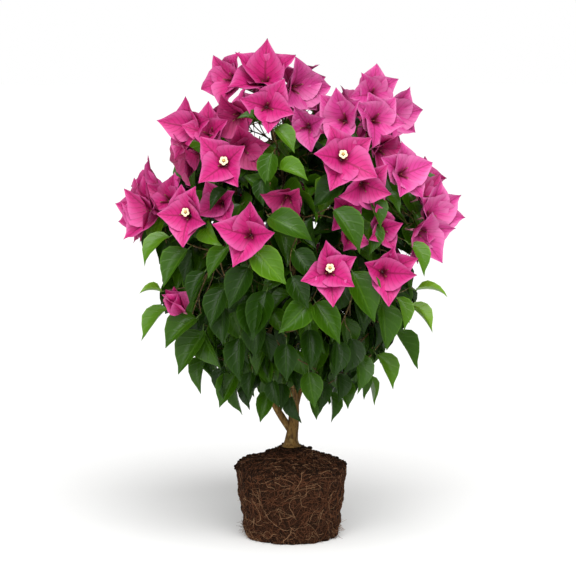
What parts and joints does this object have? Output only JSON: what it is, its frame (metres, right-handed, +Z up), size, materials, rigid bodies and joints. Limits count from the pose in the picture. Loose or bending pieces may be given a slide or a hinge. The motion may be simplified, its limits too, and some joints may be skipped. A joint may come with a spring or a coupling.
{
  "type": "bougainvillea bush",
  "caption": "Rounded flowering bush with star-shaped magenta bracts over drooping green leaves, on a short forked trunk and a bare root ball.",
  "frame": {"origin": "middle of the root ball's flat underside, on the surface that it stands on", "axes": "+Z up the trunk, -Y towards the front of the plant, +X to the right seen from the front"},
  "size_m": [0.4092, 0.3999, 0.583],
  "materials": {
    "peat": "matt fibrous peat bound by roots",
    "bark": "rough young bark",
    "foliage": "satin leaves",
    "blossom": "papery matt bracts"
  },
  "bodies": {
    "root": {"root_ball": "peat", "trunk": "bark", "left_stem": "bark", "front_top_bough": "bark", "upper_left_bough": "bark", "upper_right_bough": "bark", "upper_back_bough": "bark", "front_left_bough": "bark", "front_bough": "bark", "front_right_bough": "bark", "right_bough": "bark", "back_right_bough": "bark", "back_bough": "bark", "back_left_bough": "bark", "low_front_bough": "bark", "low_left_bough": "bark", "low_right_bough": "bark", "low_back_right_bough": "bark", "low_back_left_bough": "bark", "top": "blossom", "front_top": "blossom", "upper_left": "blossom", "upper_right": "blossom", "upper_back": "blossom", "left": "blossom", "front_left": "blossom", "front": "blossom", "front_right": "blossom", "right": "blossom", "back_right": "blossom", "back": "blossom", "back_left": "blossom", "low_front": "foliage", "low_left": "foliage", "low_right": "foliage", "low_back_right": "foliage", "low_back_left": "foliage"}
  },
  "joints": []
}
